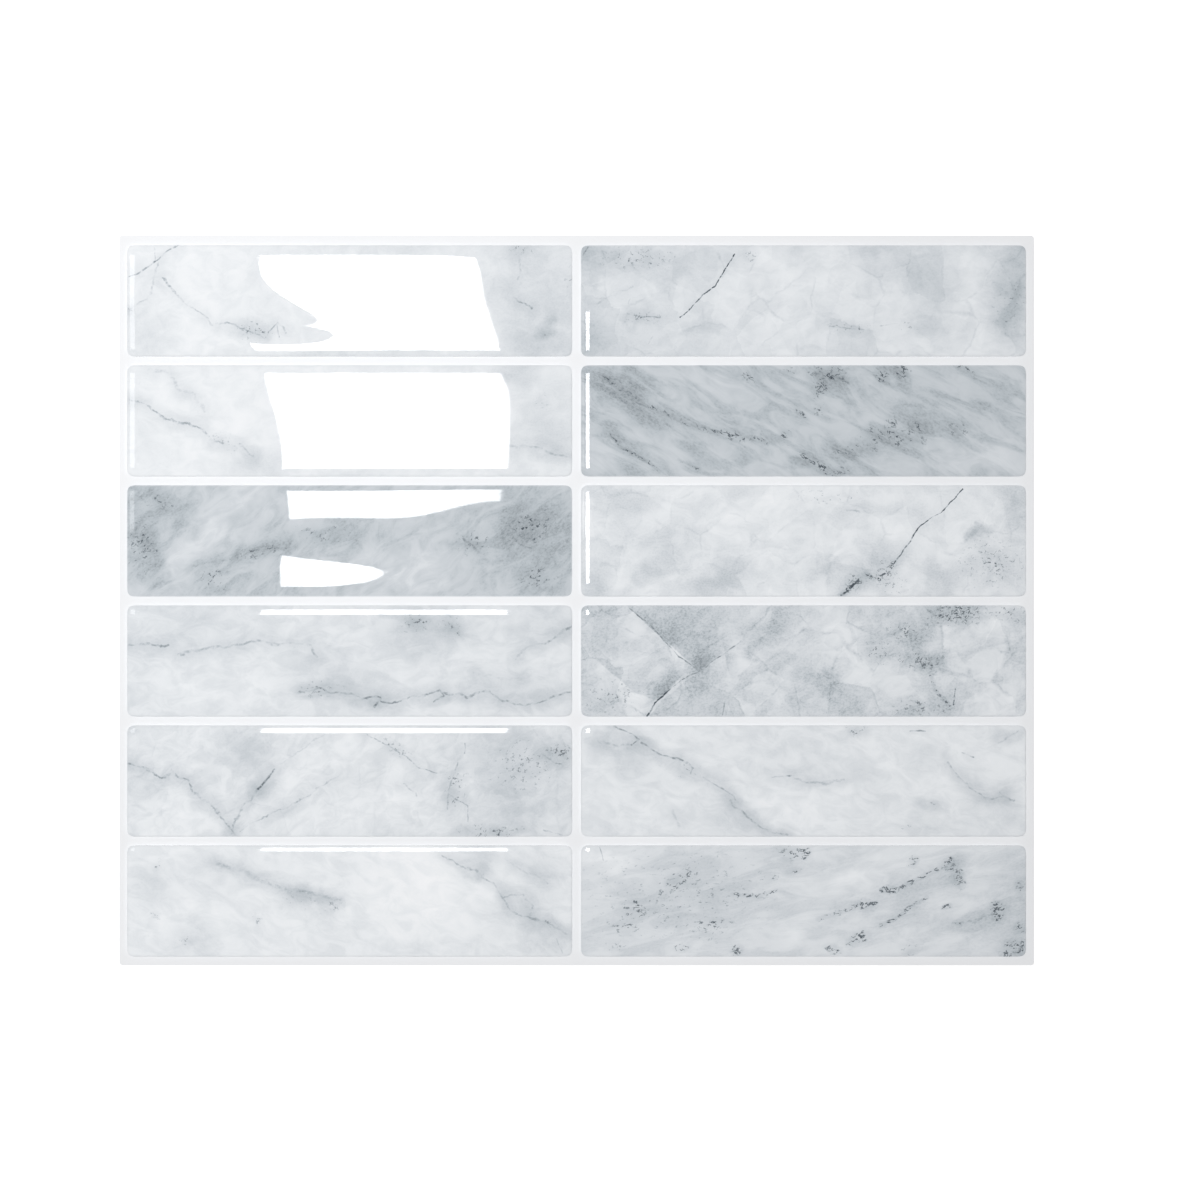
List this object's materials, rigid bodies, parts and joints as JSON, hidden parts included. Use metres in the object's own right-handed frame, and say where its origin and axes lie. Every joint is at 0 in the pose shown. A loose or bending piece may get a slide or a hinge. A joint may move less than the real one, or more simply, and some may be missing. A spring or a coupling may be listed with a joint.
{
  "type": "peel and stick backsplash tile",
  "caption": "Flat adhesive wall sheet: printed vinyl film with raised, round-shouldered clear gel tiles in a stacked grid over a grey-veined marble print, on a peel-off liner.",
  "frame": {"origin": "centre of the release liner's underside, which is the back of the sheet", "axes": "+X along the tiles towards the picture's right, +Y across them towards the top row, +Z out of the printed face"},
  "size_m": [0.2928, 0.2336, 0.0021],
  "materials": {
    "liner_paper": "satin",
    "vinyl_film": "satin",
    "clear_gel": "gloss"
  },
  "bodies": {
    "root": {"release_liner": "liner_paper", "printed_film": "vinyl_film", "gel_tile_row1_col1": "clear_gel", "gel_tile_row1_col2": "clear_gel", "gel_tile_row2_col1": "clear_gel", "gel_tile_row2_col2": "clear_gel", "gel_tile_row3_col1": "clear_gel", "gel_tile_row3_col2": "clear_gel", "gel_tile_row4_col1": "clear_gel", "gel_tile_row4_col2": "clear_gel", "gel_tile_row5_col1": "clear_gel", "gel_tile_row5_col2": "clear_gel", "gel_tile_row6_col1": "clear_gel", "gel_tile_row6_col2": "clear_gel"}
  },
  "joints": []
}
